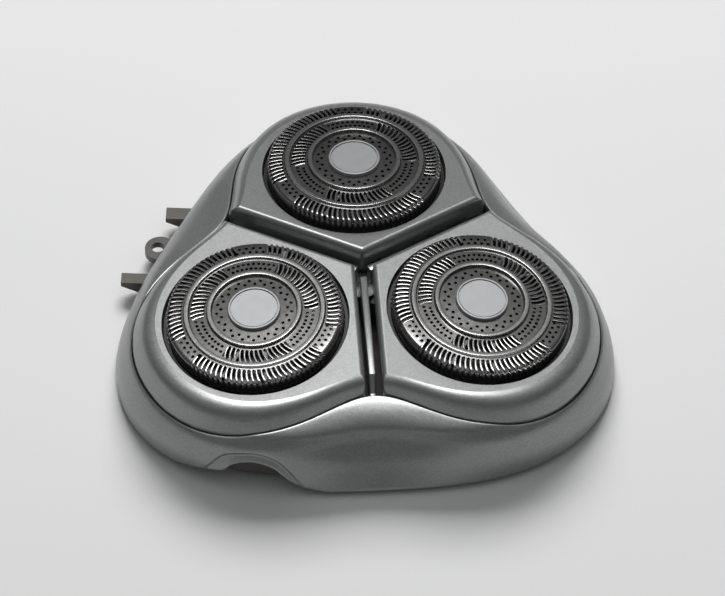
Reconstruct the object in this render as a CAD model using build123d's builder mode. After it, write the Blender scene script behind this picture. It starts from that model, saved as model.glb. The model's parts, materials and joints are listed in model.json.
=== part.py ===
from build123d import *
from math import cos, radians, sin, sqrt, tan
import os

# A rotary shaver head: a silver skirt, three tilting panels (petals) and three round cutting heads.
# Millimetres, +Z up. The origin is the middle of the three heads on the plane of the skirt's rim.

# Layout of the heads
head_spacing = 32.0
head_circle = head_spacing / sqrt(3)
head_tilt = 5.45
petal_height = 12.4
head_angles = {"rear": 90, "left": 210, "right": 330}
heads = len(head_angles)
pitch = 360 / heads
first_head = 90
groove_angles = [angle + pitch / 2 for angle in head_angles.values()]

# Seam between the petals and the skirt, as radii at a lobe, halfway and at a waist
seam_lobe = head_circle + 17.5
seam_mid = head_circle + 12.4
seam_waist = head_circle + 4.0
seam_gap = 0.2

# Skirt: each section is its height and how far it stands out from the seam
# at a lobe, halfway, at a waist and at the waist that houses the hinge
skirt_sections = (
    (0.0, 2.3, 3.9, 9.0, 9.4),
    (2.5, 1.9, 3.3, 7.6, 8.4),
    (4.6, 1.1, 2.6, 6.4, 7.7),
    (6.3, 0.15, 1.9, 5.1, 7.0),
    (7.4, -1.1, 1.1, 4.5, 6.2),
    (8.4, -2.7, 0.15, 3.9, 4.8),
    (9.5, -5.0, -2.2, 2.5, 2.6),
    (10.5, -7.6, -4.8, 0.15, 0.15),
    (11.4, -10.6, -8.0, -3.0, -3.0),
)
skirt_wall = 1.3
skirt_roof = 1.1
rib_width = 1.0
rib_depth = 2.8
rib_start = 1.0
rib_end = head_circle + 0.1
rib_dive = 1.8
rib_foot = 6.6
rib_top_boss = 8.2
hub_radius = 2.3
hub_top = 8.2

# Notch in the skirt's rim, in the wall's own plane: its arch and the shallow scoop round it
notch_angle = 241
notch_turn = 15
notch_lean = 16
notch_radius = seam_mid + skirt_sections[0][2]
notch_arch = ((-7.4, 0), (-4.7, 0.8), (-2.6, 2.4), (0, 3.6), (2.9, 3.0), (5.2, 1.3), (7.6, 0))
notch_scoop = ((-8.6, 0), (-6.2, 2.4), (-3.7, 4.6), (-0.2, 5.6), (3.2, 4.6), (5.6, 2.2), (8.2, 0))
notch_scoop_depth = 0.6
notch_scoop_rise = 0.2

# Petals
groove_width = 2.6
petal_roof = 1.4
petal_wall = 1.2
petal_hole_radius = 13.4
petal_edge = 0.7
petal_corner = 0.8
groove_wall_depth = 3.5
collar_wall = 1.0
collar_depth = 3.9
# Outer wall of a petal: depth under its plane, then how far inside the seam at lobe, halfway and waist
petal_sections = (
    (0.0, 3.4, 3.4, 2.0),
    (0.3, 2.3, 2.3, 1.4),
    (0.8, 1.6, 1.6, 0.9),
    (1.6, 1.1, 1.0, 0.5),
    (2.7, 0.7, 0.4, 0.0),
    (4.2, 0.1, -0.4, -0.7),
    (5.4, -0.4, -1.0, -1.4),
)
petal_depth = petal_sections[-1][0]
petal_span = 70
petal_step = 10

# Pivots of the petals
pivot_radius = 3.9
pivot_height = 7.6
pin_radius = 0.6
pin_length = 6.0
eye_radius = 1.2
eye_width = 2.8
running_gap = 0.05
side_gap = 0.2

# Chassis
chassis_foot = 0.6
chassis_top = 3.0
chassis_wall = 1.2
chassis_gap = 0.2
arm_foot = 2.0
arm_top = 4.4
arm_width = 6.0
chassis_hub_radius = 6.2
fork_top = 8.9
boss_radius = 2.2
boss_circle = seam_waist + 2.7
screw_radius = 0.9
screw_head_radius = 1.8
screw_head_height = 0.8
screw_clearance = 0.15
screw_length = 4.6
screw_tip_gap = 0.2
screw_tip = arm_foot + screw_head_height + screw_length

# Hinge bracket on the rear left: two slanting lugs and an eye beyond the rim
hinge_angle = 150
hinge_shift = 1.4
hinge_foot = 0.2
lug_top = 2.2
lug_slant = 24
lug_reach = 2.5
lug_tail = 4.4
lug_tip = 0.8
near_lug_offset = 7.4
near_lug_width = 1.9
far_lug_offset = -6.8
far_lug_width = 2.2
eye_offset = 0.5
eye_foot = 0.8
eye_plate = 1.1
loop_radius = 2.25
loop_bore = 0.95
loop_bore_shift = 0.4
plate_height = 1.5
plate_width = 19.4
plate_depth = 6.4
hinge_screw_spacing = 12.4
hinge_screw_length = 2.9

# Head module, heights from the petal's plane along the head's axis
guard_radius = 12.6
guard_sheet = 0.4
guard_foot = -2.4
outer_track_height = 1.85
middle_track_height = 2.1
inner_track_height = 2.2
outer_ridge_radius = 9.74
outer_ridge_height = 2.35
inner_ridge_radius = 6.43
inner_ridge_height = 2.7
ridge_width = 0.5
ridge_slope = 0.15
guard_edge = 0.6
flange_radius = 13.0
disc_radius = 3.75
disc_stub_radius = 3.1
disc_rim_width = 0.35
disc_rim_height = 2.8
disc_face_height = 2.65
disc_foot = 1.3
outer_slots = 36
middle_slots = 24
slot_width = 0.42
slot_skew = 14

seat_radius = 13.15
seat_inner_radius = 12.7
seat_top = -0.9
seat_foot = -2.0

ring_radius = 13.3
ring_inner_radius = 10.6
ring_lip_radius = 12.1
ring_lip_top = -0.5
ring_foot = -4.4

blade_gap = 0.06
blade_thickness = 0.5
outer_blades = 12
middle_blades = 12
blade_lean = 30
blade_disc_top = 0.4
blade_disc_thickness = 0.5
blade_disc_radius = 11.9
blade_disc_bore = 3.0
carrier_radius = 6.0
carrier_thickness = 1.2
carrier_hub_radius = 2.9
carrier_foot = -3.0
socket_radius = 1.35
socket_depth = 2.2

# Leaf springs under the petals
spring_width = 5.0
spring_sheet = 0.3
spring_gap = 0.1


def trefoil_radius(angle, lobe, mid, waist):
    """Radius of a three-lobed outline at an angle from the middle of a lobe."""
    average = (lobe + waist) / 2
    swing = (lobe - waist) / 2 * cos(radians(heads * angle))
    ripple = (average - mid) / 2 * cos(radians(2 * heads * angle))
    return (average + mid) / 2 + swing + ripple


def trefoil_points(lobe, mid, waist, turn=0, step=10):
    """Points round a three-lobed outline whose first lobe is turned from +X."""
    points = []
    for angle in range(0, 360, step):
        radius = trefoil_radius(angle, lobe, mid, waist)
        points.append((radius * cos(radians(angle + turn)), radius * sin(radians(angle + turn))))
    return points


def skirt_points(lobe, mid, waist, hinge_waist, step=10):
    """Points round a section of the skirt, which stands out further where it houses the hinge."""
    points = []
    for angle in range(0, 360, step):
        here = hinge_waist if abs(angle - hinge_angle) < pitch / 2 else waist
        radius = trefoil_radius(angle - first_head, lobe, mid, here)
        points.append((radius * cos(radians(angle)), radius * sin(radians(angle))))
    return points


def skirt_radii(height):
    """Lobe, halfway and waist radius of the skirt's outside at a height."""
    for low, high in zip(skirt_sections, skirt_sections[1:]):
        if low[0] <= height <= high[0]:
            share = (height - low[0]) / (high[0] - low[0])
            out = [a + (b - a) * share for a, b in zip(low[1:], high[1:])]
            return [seam + step for seam, step in zip((seam_lobe, seam_mid, seam_waist), out)]


def turned(angle, radius=0):
    """Place at a radius on a level sketch, with x outwards."""
    return Location((radius * cos(radians(angle)), radius * sin(radians(angle)), 0), (0, 0, angle))


def upright(angle):
    """Vertical plane through the centre line: x outwards, y up."""
    direction = Vector(cos(radians(angle)), sin(radians(angle)), 0)
    return Plane(origin=(0, 0, 0), x_dir=direction, z_dir=direction.cross(Vector(0, 0, 1)))


def facing(angle, radius):
    """Vertical plane across a radius: y up, facing outwards."""
    direction = Vector(cos(radians(angle)), sin(radians(angle)), 0)
    return Plane(origin=direction * radius, x_dir=Vector(0, 0, 1).cross(direction), z_dir=direction)


def rim_plane(angle, radius, turn, lean):
    """Plane against the skirt's wall at its rim: turned from the radius, and leaning back, y up the wall."""
    level = Vector(cos(radians(angle + turn)), sin(radians(angle + turn)), 0)
    across = Vector(0, 0, 1).cross(level)
    origin = Vector(radius * cos(radians(angle)), radius * sin(radians(angle)), 0)
    return Plane(origin=origin, x_dir=across, z_dir=level * cos(radians(lean)) + Vector(0, 0, sin(radians(lean))))


# The plane of a petal, for the head that lies along +X, and the place of each head
tilt_out = radians(head_tilt)
petal_plane = Plane(
    origin=(head_circle, 0, petal_height),
    x_dir=(cos(tilt_out), 0, -sin(tilt_out)),
    z_dir=(sin(tilt_out), 0, cos(tilt_out)),
)
notch_plane = rim_plane(notch_angle, notch_radius, notch_turn, notch_lean)
notch_reach = 3 * skirt_wall
head_places = {name: Rot(0, 0, angle) * petal_plane.location for name, angle in head_angles.items()}
petal_places = {name: Rot(0, 0, angle) for name, angle in head_angles.items()}


def finish(shape, name):
    """Label a finished piece and write it."""
    shape.label = name
    export_step(shape, f"parts/{name}.step")


os.makedirs("parts", exist_ok=True)

# Outer skirt: lofted shell with a three-lobed opening, ribs in the grooves and a notch in the rim
with BuildPart() as skirt_form:
    for height, lobe, mid, waist, hinge_waist in skirt_sections:
        with BuildSketch(Plane.XY.offset(height)):
            with BuildLine():
                Spline(
                    *skirt_points(
                        seam_lobe + lobe, seam_mid + mid, seam_waist + waist, seam_waist + hinge_waist
                    ),
                    periodic=True,
                )
            make_face()
    loft()

with BuildPart() as skirt_bosses:
    add(skirt_form.part)
    with BuildSketch(Plane.XY.offset(arm_top)):
        with PolarLocations(boss_circle, heads, first_head + pitch / 2):
            Circle(boss_radius)
    extrude(amount=skirt_sections[-1][0], mode=Mode.INTERSECT)

with BuildPart() as notch_dish:
    for outline, offset in ((notch_scoop, notch_scoop_rise), (notch_arch, -notch_scoop_depth)):
        with BuildSketch(notch_plane.offset(offset)):
            with BuildLine():
                Spline(*outline)
                Polyline(outline[-1], (outline[-1][0], -1), (outline[0][0], -1), outline[0])
            make_face()
    loft(ruled=True)

with BuildPart() as outer_skirt:
    add(skirt_form.part)
    for height, lobe, mid, waist, hinge_waist in skirt_sections:
        with BuildSketch(Plane.XY.offset(height - skirt_roof)):
            with BuildLine():
                Spline(
                    *skirt_points(
                        seam_lobe + lobe - skirt_wall,
                        seam_mid + mid - skirt_wall,
                        seam_waist + waist - skirt_wall,
                        seam_waist + hinge_waist - skirt_wall,
                    ),
                    periodic=True,
                )
            make_face()
    loft(mode=Mode.SUBTRACT)
    with BuildSketch(Plane.XY):
        with BuildLine():
            Spline(*trefoil_points(seam_lobe, seam_mid, seam_waist, first_head), periodic=True)
        make_face()
    extrude(amount=petal_height + seam_lobe, mode=Mode.SUBTRACT)
    add(skirt_bosses.part)
    rib_top_in = petal_height + head_circle * tan(tilt_out) - rib_depth
    rib_top_out = petal_height + (head_circle - rib_end / 2) * tan(tilt_out) - rib_depth
    for angle in groove_angles:
        with BuildSketch(upright(angle)):
            with BuildLine():
                Polyline(
                    (rib_start, rib_foot),
                    (rib_start, rib_top_in),
                    (rib_end, rib_top_out),
                    (rib_end + rib_dive, rib_top_boss),
                    (boss_circle, rib_top_boss),
                    (boss_circle, rib_foot),
                    close=True,
                )
            make_face()
        extrude(amount=rib_width / 2, both=True)
    with BuildSketch(Plane.XY.offset(arm_top)):
        Circle(hub_radius)
    extrude(amount=hub_top - arm_top)
    with BuildSketch(Plane.XY.offset(arm_top)):
        Circle(screw_radius)
        with PolarLocations(boss_circle, heads, first_head + pitch / 2):
            Circle(screw_radius)
    extrude(amount=screw_tip + screw_tip_gap - arm_top, mode=Mode.SUBTRACT)
    add(notch_dish.part, mode=Mode.SUBTRACT)
    with BuildSketch(notch_plane):
        with BuildLine():
            Spline(*notch_arch)
            Polyline(notch_arch[-1], (notch_arch[-1][0], -1), (notch_arch[0][0], -1), notch_arch[0])
        make_face()
    extrude(amount=notch_reach, both=True, mode=Mode.SUBTRACT)
    with BuildSketch(facing(hinge_angle, seam_waist)):
        with Locations((hinge_shift, 0)):
            Rectangle(plate_width + 2 * side_gap, 2 * (lug_top + side_gap))
    extrude(amount=seam_lobe / 2, mode=Mode.SUBTRACT)
finish(outer_skirt.part, "outer_skirt")


# Petal: a tilted panel with a round hole, a coved outer wall and straight groove walls
def petal_outline(depth, lobe_inset, mid_inset, waist_inset):
    """Outline of a petal's form across its own plane, at a depth under it."""
    origin = petal_plane.origin - petal_plane.z_dir * depth
    points = []
    for angle in range(-petal_span, petal_span + 1, petal_step):
        radius = trefoil_radius(angle, seam_lobe - lobe_inset, seam_mid - mid_inset, seam_waist - waist_inset)
        x, y = radius * cos(radians(angle)), radius * sin(radians(angle))
        points.append(((x - origin.X) / cos(tilt_out), y))
    return points


def petal_form(inset, drop):
    """The petal's solid form, with its outer wall moved inwards and its plane lowered."""
    with BuildPart() as form:
        for depth, lobe_inset, mid_inset, waist_inset in petal_sections:
            with BuildSketch(petal_plane.offset(-depth - drop)):
                with BuildLine():
                    outline = petal_outline(
                        depth + drop, lobe_inset + inset, mid_inset + inset, waist_inset + inset
                    )
                    Spline(*outline)
                    Polyline(outline[-1], (-head_circle - seam_waist, 0), outline[0])
                make_face()
        loft()
    return form.part


def sector(inset):
    """Plan of the space of one petal, between its two grooves."""
    with BuildSketch() as plan:
        with BuildLine():
            Spline(
                *trefoil_points(seam_lobe - seam_gap, seam_mid - seam_gap, seam_waist - seam_gap),
                periodic=True,
            )
        make_face()
        half = groove_width / 2 + inset
        tip = half / sin(radians(pitch / 2))
        far = 2 * seam_lobe
        with BuildLine():
            Polyline(
                (tip, 0),
                (tip + far * cos(radians(pitch / 2)), far * sin(radians(pitch / 2))),
                (tip + far, 0),
                (tip + far * cos(radians(pitch / 2)), -far * sin(radians(pitch / 2))),
                close=True,
            )
        make_face(mode=Mode.INTERSECT)
    return plan.sketch


with BuildPart() as petal_shell:
    add(petal_form(0, 0))
    add(sector(0))
    extrude(amount=2 * petal_height, mode=Mode.INTERSECT)

with BuildPart() as petal_hollow:
    add(petal_form(petal_wall, petal_roof))
    add(sector(petal_wall))
    extrude(amount=2 * petal_height, mode=Mode.INTERSECT)

with BuildPart() as petal_undercut:
    add(petal_form(petal_wall, petal_roof))
    with BuildSketch(petal_plane.offset(-groove_wall_depth)):
        Rectangle(4 * seam_lobe, 4 * seam_lobe)
    extrude(amount=-petal_height, mode=Mode.INTERSECT)

with BuildPart() as petal:
    add(petal_shell.part)
    corners = petal.edges().filter_by(Axis.Z)
    fillet(corners, petal_corner)
    top = petal.faces().filter_by(GeomType.PLANE).sort_by(Axis(petal_plane.origin, petal_plane.z_dir))[-1]
    fillet(top.edges().filter_by(GeomType.LINE), petal_edge)
    add(petal_hollow.part, mode=Mode.SUBTRACT)
    add(petal_undercut.part, mode=Mode.SUBTRACT)
    with BuildSketch(petal_plane.offset(-collar_depth)):
        Circle(petal_hole_radius + collar_wall)
    extrude(amount=collar_depth - petal_roof / 2)
    with BuildSketch(Plane(origin=(pivot_radius, 0, pivot_height), x_dir=(1, 0, 0), z_dir=(0, -1, 0))):
        Circle(eye_radius)
        Rectangle(2 * eye_radius, petal_height - pivot_height, align=(Align.CENTER, Align.MIN))
    extrude(amount=eye_width / 2, both=True)
    with BuildSketch(Plane(origin=(pivot_radius, 0, pivot_height), x_dir=(1, 0, 0), z_dir=(0, -1, 0))):
        Circle(pin_radius + running_gap)
    extrude(amount=eye_width, both=True, mode=Mode.SUBTRACT)
    with BuildSketch(petal_plane):
        Circle(petal_hole_radius)
    extrude(amount=petal_depth, both=True, mode=Mode.SUBTRACT)
for name in head_angles:
    finish(petal_places[name] * petal.part, f"petal_{name}")

# Chassis: perimeter wall, three arms to the middle and a fork for each petal's pivot
wall_radii = [radius - skirt_wall - chassis_gap for radius in skirt_radii(chassis_top + skirt_roof)]
with BuildPart() as chassis:
    with BuildSketch(Plane.XY.offset(chassis_foot)):
        with BuildLine():
            Spline(*trefoil_points(*wall_radii, first_head), periodic=True)
        make_face()
        with BuildLine():
            Spline(*trefoil_points(*[radius - chassis_wall for radius in wall_radii], first_head), periodic=True)
        make_face(mode=Mode.SUBTRACT)
    extrude(amount=chassis_top - chassis_foot)
    with BuildSketch(Plane.XY.offset(arm_foot)):
        Circle(chassis_hub_radius)
        arm_length = wall_radii[2] - chassis_wall / 2
        with PolarLocations(arm_length / 2, heads, first_head + pitch / 2):
            Rectangle(arm_length, arm_width)
        with Locations(turned(hinge_angle, boss_circle)):
            with Locations((0, hinge_shift)):
                Rectangle(plate_depth, plate_width)
    extrude(amount=arm_top - arm_foot)
    with BuildSketch(Plane.XY.offset(arm_foot)):
        fork_side = eye_width / 2 + side_gap
        fork_wall = pin_length / 2 - fork_side
        for angle in head_angles.values():
            with Locations(turned(angle, pivot_radius)):
                with Locations((0, fork_side + fork_wall / 2), (0, -fork_side - fork_wall / 2)):
                    Rectangle(2 * eye_radius, fork_wall)
    extrude(amount=fork_top - arm_foot)
    for angle in head_angles.values():
        with BuildSketch(upright(angle)):
            with Locations((pivot_radius, pivot_height)):
                Circle(pin_radius)
        extrude(amount=pin_length, both=True, mode=Mode.SUBTRACT)
    with BuildSketch(Plane.XY.offset(arm_foot)):
        Circle(screw_radius + screw_clearance)
        with PolarLocations(boss_circle, heads, first_head + pitch / 2):
            Circle(screw_radius + screw_clearance)
    extrude(amount=arm_top - arm_foot, mode=Mode.SUBTRACT)
    with BuildSketch(Plane.XY.offset(arm_foot)):
        Circle(screw_head_radius + screw_clearance)
        with PolarLocations(boss_circle, heads, first_head + pitch / 2):
            Circle(screw_head_radius + screw_clearance)
    extrude(amount=screw_head_height, mode=Mode.SUBTRACT)
    with BuildSketch(facing(hinge_angle, boss_circle - plate_depth / 2)):
        with Locations((hinge_shift, 0)):
            Rectangle(plate_width + 2 * side_gap, 2 * arm_foot)
    extrude(amount=seam_waist, mode=Mode.SUBTRACT)
    with BuildSketch(facing(hinge_angle, boss_circle + plate_depth / 2)):
        with Locations((hinge_shift, 0)):
            Rectangle(plate_width + 2 * side_gap, 2 * (lug_top + side_gap))
    extrude(amount=seam_waist, mode=Mode.SUBTRACT)
    with BuildSketch(Plane.XY.offset(arm_foot)):
        with Locations(turned(hinge_angle, boss_circle)):
            with Locations(
                (0, hinge_shift + hinge_screw_spacing / 2), (0, hinge_shift - hinge_screw_spacing / 2)
            ):
                Circle(screw_radius)
    extrude(amount=arm_top, mode=Mode.SUBTRACT)
finish(chassis.part, "chassis")

# Hinge bracket: a screwed plate with two lugs and an eye that stand out on the rear left
plate_foot = arm_foot - plate_height
rim_out = seam_waist + skirt_sections[0][4]


def lug_plane(offset):
    """Upright plane along a lug that crosses the rim at an offset from the bracket's middle."""
    out = radians(hinge_angle)
    along = Vector(cos(radians(hinge_angle + lug_slant)), sin(radians(hinge_angle + lug_slant)), 0)
    side = hinge_shift + offset
    origin = Vector(rim_out * cos(out) - side * sin(out), rim_out * sin(out) + side * cos(out), 0)
    return Plane(origin=origin, x_dir=along, z_dir=along.cross(Vector(0, 0, 1)))


with BuildPart() as hinge_bracket:
    with BuildSketch(Plane.XY.offset(plate_foot)):
        with Locations(turned(hinge_angle, boss_circle)):
            with Locations((0, hinge_shift)):
                Rectangle(plate_depth, plate_width)
    extrude(amount=plate_height)
    for offset, width in ((near_lug_offset, near_lug_width), (far_lug_offset, far_lug_width)):
        with BuildSketch(lug_plane(offset)):
            with BuildLine():
                Polyline(
                    (-lug_tail, plate_foot),
                    (-lug_tail, arm_foot),
                    (side_gap - lug_tail + plate_height, arm_foot),
                    (side_gap - lug_tail + plate_height, lug_top),
                    (lug_reach, lug_top),
                    (lug_reach, lug_top - lug_tip),
                    (0, hinge_foot),
                    (side_gap - lug_tail, hinge_foot),
                    close=True,
                )
            make_face()
        extrude(amount=width / 2, both=True)
    with BuildSketch(Plane.XY.offset(eye_foot)):
        with Locations(turned(hinge_angle, rim_out)):
            with Locations((0, hinge_shift + eye_offset)):
                Circle(loop_radius)
                Rectangle(lug_tail, 2 * loop_radius, align=(Align.MAX, Align.CENTER))
            with Locations((loop_bore_shift, hinge_shift + eye_offset)):
                Circle(loop_bore, mode=Mode.SUBTRACT)
    extrude(amount=eye_plate)
    with BuildSketch(Plane.XY.offset(plate_foot)):
        with Locations(turned(hinge_angle, boss_circle)):
            with Locations(
                (0, hinge_shift + hinge_screw_spacing / 2), (0, hinge_shift - hinge_screw_spacing / 2)
            ):
                Circle(screw_radius + screw_clearance)
    extrude(amount=plate_height, mode=Mode.SUBTRACT)
    with BuildSketch(Plane.XY.offset(plate_foot)):
        with Locations(turned(hinge_angle, boss_circle)):
            with Locations(
                (0, hinge_shift + hinge_screw_spacing / 2), (0, hinge_shift - hinge_screw_spacing / 2)
            ):
                Circle(screw_head_radius + screw_clearance)
    extrude(amount=screw_head_height, mode=Mode.SUBTRACT)
finish(hinge_bracket.part, "hinge_bracket")

# Pivot pins
with BuildPart() as pivot_pin:
    with BuildSketch(upright(0)):
        with Locations((pivot_radius, pivot_height)):
            Circle(pin_radius)
    extrude(amount=pin_length / 2, both=True)
for name in head_angles:
    finish(petal_places[name] * pivot_pin.part, f"pivot_pin_{name}")

# Guard: a pressed steel cap with two raised rings and slotted tracks
with BuildPart() as guard:
    with BuildSketch(Plane.XZ):
        outer_out = outer_ridge_radius + ridge_width / 2
        outer_in = outer_ridge_radius - ridge_width / 2
        inner_out = inner_ridge_radius + ridge_width / 2
        inner_in = inner_ridge_radius - ridge_width / 2
        with BuildLine():
            Polyline(
                (guard_radius - guard_sheet, guard_foot),
                (flange_radius, guard_foot),
                (flange_radius, guard_foot + guard_sheet),
                (guard_radius, guard_foot + guard_sheet),
                (guard_radius, outer_track_height - guard_edge),
                (guard_radius - guard_edge, outer_track_height),
                (outer_out + ridge_slope, outer_track_height),
                (outer_out, outer_ridge_height),
                (outer_in, outer_ridge_height),
                (outer_in - ridge_slope, middle_track_height),
                (inner_out + ridge_slope, middle_track_height),
                (inner_out, inner_ridge_height),
                (inner_in, inner_ridge_height),
                (inner_in - ridge_slope, inner_track_height),
                (disc_stub_radius, inner_track_height),
                (disc_stub_radius, inner_track_height - guard_sheet),
                (inner_in, inner_track_height - guard_sheet),
                (inner_in, middle_track_height - guard_sheet),
                (outer_in, middle_track_height - guard_sheet),
                (outer_in, outer_track_height - guard_sheet),
                (guard_radius - guard_sheet, outer_track_height - guard_sheet),
                close=True,
            )
        make_face()
    revolve(axis=Axis.Z)
    with BuildSketch(Plane.XY.offset(outer_track_height - guard_edge)):
        track = (outer_out + ridge_slope + guard_radius + guard_sheet) / 2 + slot_width / 2
        with PolarLocations(track, outer_slots):
            Rectangle(guard_radius + guard_sheet - outer_out - ridge_slope, slot_width, rotation=slot_skew)
    extrude(amount=guard_edge + ridge_slope, mode=Mode.SUBTRACT)
    with BuildSketch(Plane.XY.offset(middle_track_height - guard_sheet)):
        with PolarLocations((outer_in + inner_out) / 2, middle_slots):
            Rectangle(outer_in - inner_out - 4 * ridge_slope, slot_width, rotation=slot_skew)
    extrude(amount=2 * guard_sheet, mode=Mode.SUBTRACT)

# Centre disc: a plain turned button with a raised rim
with BuildPart() as centre_disc:
    with BuildSketch(Plane.XZ):
        with BuildLine():
            Polyline(
                (0, disc_foot),
                (disc_stub_radius, disc_foot),
                (disc_stub_radius, inner_track_height),
                (disc_radius, inner_track_height),
                (disc_radius, disc_rim_height),
                (disc_radius - disc_rim_width, disc_rim_height),
                (disc_radius - disc_rim_width, disc_face_height),
                (0, disc_face_height),
                close=True,
            )
        make_face()
    revolve(axis=Axis.Z)

# Seat ring: the black ring round the guard
with BuildPart() as seat_ring:
    with BuildSketch(Plane.XY.offset(guard_foot + guard_sheet)):
        Circle(seat_radius)
        Circle(seat_inner_radius, mode=Mode.SUBTRACT)
    extrude(amount=seat_top - guard_foot - guard_sheet)

# Retaining ring: clips into the petal's collar and keeps the guard and the cutter in
with BuildPart() as retaining_ring:
    with BuildSketch(Plane.XZ):
        with BuildLine():
            Polyline(
                (ring_inner_radius, ring_foot),
                (ring_radius, ring_foot),
                (ring_radius, guard_foot),
                (ring_lip_radius, guard_foot),
                (ring_lip_radius, ring_lip_top),
                (ring_inner_radius, ring_lip_top),
                close=True,
            )
        make_face()
    revolve(axis=Axis.Z)

# Cutter: a steel disc with leaning blades that run just under the guard's two tracks
def blade(inner_radius, outer_radius, top):
    """One leaning blade that stands on the cutter's disc at +X."""
    with BuildPart() as one:
        with BuildSketch(Plane.YZ.offset(inner_radius)):
            foot = blade_disc_top - blade_disc_thickness / 2
            lean = (top - foot) * tan(radians(blade_lean))
            with BuildLine():
                Polyline(
                    (0, foot),
                    (blade_thickness, foot),
                    (blade_thickness + lean, top),
                    (lean, top),
                    close=True,
                )
            make_face()
        extrude(amount=outer_radius - inner_radius)
    return one.part


with BuildPart() as cutter:
    with BuildSketch(Plane.XY.offset(blade_disc_top)):
        Circle(blade_disc_radius)
        Circle(blade_disc_bore, mode=Mode.SUBTRACT)
    extrude(amount=-blade_disc_thickness)
    outer_blade = blade(outer_out, blade_disc_radius - blade_gap, outer_track_height - guard_sheet - blade_gap)
    middle_blade = blade(inner_out, outer_in - blade_gap, middle_track_height - guard_sheet - blade_gap)
    with PolarLocations(0, outer_blades):
        add(outer_blade)
    with PolarLocations(0, middle_blades):
        add(middle_blade)

# Carrier: plastic hub that holds the cutter and takes the drive pin in its socket
with BuildPart() as carrier:
    carrier_top = blade_disc_top - blade_disc_thickness
    with BuildSketch(Plane.XY.offset(carrier_top)):
        Circle(carrier_radius)
    extrude(amount=-carrier_thickness)
    with BuildSketch(Plane.XY.offset(carrier_foot)):
        Circle(carrier_hub_radius)
    extrude(amount=blade_disc_top + blade_disc_thickness - carrier_foot)
    with BuildSketch(Plane.XY.offset(carrier_foot)):
        RegularPolygon(socket_radius, 6)
    extrude(amount=socket_depth, mode=Mode.SUBTRACT)

# Leaf spring: from the chassis wall up to the retaining ring
with BuildPart() as petal_spring:
    with BuildSketch(upright(0)):
        base_out = wall_radii[0] - chassis_gap
        base_in = wall_radii[0] - chassis_wall + chassis_gap
        touch = (ring_inner_radius + ring_radius) / 2
        tip_x = head_circle + touch * cos(tilt_out) + ring_foot * sin(tilt_out)
        tip_y = petal_height - touch * sin(tilt_out) + ring_foot * cos(tilt_out) - spring_gap
        with BuildLine():
            Polyline(
                (base_out, chassis_top),
                (base_out, chassis_top + spring_sheet),
                (base_in, chassis_top + spring_sheet),
                (tip_x, tip_y),
                (tip_x, tip_y - spring_sheet),
                (base_in, chassis_top),
                close=True,
            )
        make_face()
    extrude(amount=spring_width / 2, both=True)

for name in head_angles:
    finish(head_places[name] * guard.part, f"guard_{name}")
    finish(head_places[name] * centre_disc.part, f"centre_disc_{name}")
    finish(head_places[name] * seat_ring.part, f"seat_ring_{name}")
    finish(head_places[name] * retaining_ring.part, f"retaining_ring_{name}")
    finish(head_places[name] * cutter.part, f"cutter_{name}")
    finish(head_places[name] * carrier.part, f"carrier_{name}")
    finish(petal_places[name] * petal_spring.part, f"petal_spring_{name}")


# Screws
def screw(foot, length):
    """A pan-head screw that points up, with its head's underside at a height."""
    with BuildPart() as one:
        with BuildSketch(Plane.XY.offset(foot)):
            Circle(screw_head_radius)
        extrude(amount=screw_head_height)
        with BuildSketch(Plane.XY.offset(foot + screw_head_height)):
            Circle(screw_radius)
        extrude(amount=length)
    return one.part


with BuildPart() as frame_screws:
    frame_screw = screw(arm_foot, screw_length)
    add(frame_screw)
    with PolarLocations(boss_circle, heads, first_head + pitch / 2):
        add(frame_screw)
finish(frame_screws.part, "frame_screws")

with BuildPart() as hinge_screws:
    hinge_screw = screw(plate_foot, hinge_screw_length)
    for side in (-1, 1):
        place = turned(hinge_angle, boss_circle) * Location((0, hinge_shift + side * hinge_screw_spacing / 2, 0))
        with Locations(place):
            add(hinge_screw)
finish(hinge_screws.part, "hinge_screws")
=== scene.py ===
import bpy
import json
from math import cos, pi, radians, sin, sqrt, tan
from mathutils import Matrix, Vector

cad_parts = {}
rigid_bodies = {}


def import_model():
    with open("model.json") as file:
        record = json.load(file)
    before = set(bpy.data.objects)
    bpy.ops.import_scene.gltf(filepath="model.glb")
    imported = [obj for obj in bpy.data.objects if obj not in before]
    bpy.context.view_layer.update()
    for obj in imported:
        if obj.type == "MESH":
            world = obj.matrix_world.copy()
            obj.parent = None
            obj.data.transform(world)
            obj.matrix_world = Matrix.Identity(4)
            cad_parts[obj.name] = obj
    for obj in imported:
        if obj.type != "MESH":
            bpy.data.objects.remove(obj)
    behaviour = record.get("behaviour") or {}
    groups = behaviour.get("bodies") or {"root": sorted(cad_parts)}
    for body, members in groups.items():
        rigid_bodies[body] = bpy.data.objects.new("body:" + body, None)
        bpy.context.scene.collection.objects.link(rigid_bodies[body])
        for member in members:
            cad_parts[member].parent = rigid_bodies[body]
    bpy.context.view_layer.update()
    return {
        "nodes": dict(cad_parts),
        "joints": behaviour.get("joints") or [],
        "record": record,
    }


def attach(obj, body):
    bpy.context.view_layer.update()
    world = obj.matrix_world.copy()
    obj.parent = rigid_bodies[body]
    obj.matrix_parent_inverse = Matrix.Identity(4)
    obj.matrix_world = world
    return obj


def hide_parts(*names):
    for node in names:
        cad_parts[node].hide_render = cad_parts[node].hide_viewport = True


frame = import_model()

MM = 0.001
WELD = 0.0005 * MM

# Camera, fitted to the photo: it looks down at 49 degrees from just left of the front
VIEW_ELEVATION = 49.048
VIEW_AZIMUTH = -5.474
VIEW_ROLL = 1.772
VIEW_DISTANCE = 700 * MM
VIEW_TARGET = Vector((-0.525, -6.05, 12.4)) * MM
VIEW_CLIP = (0.01, 20)
SENSOR_WIDTH = 36
PHOTO_WIDTH = 725
FOCAL_PIXELS = 4911.2

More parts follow.
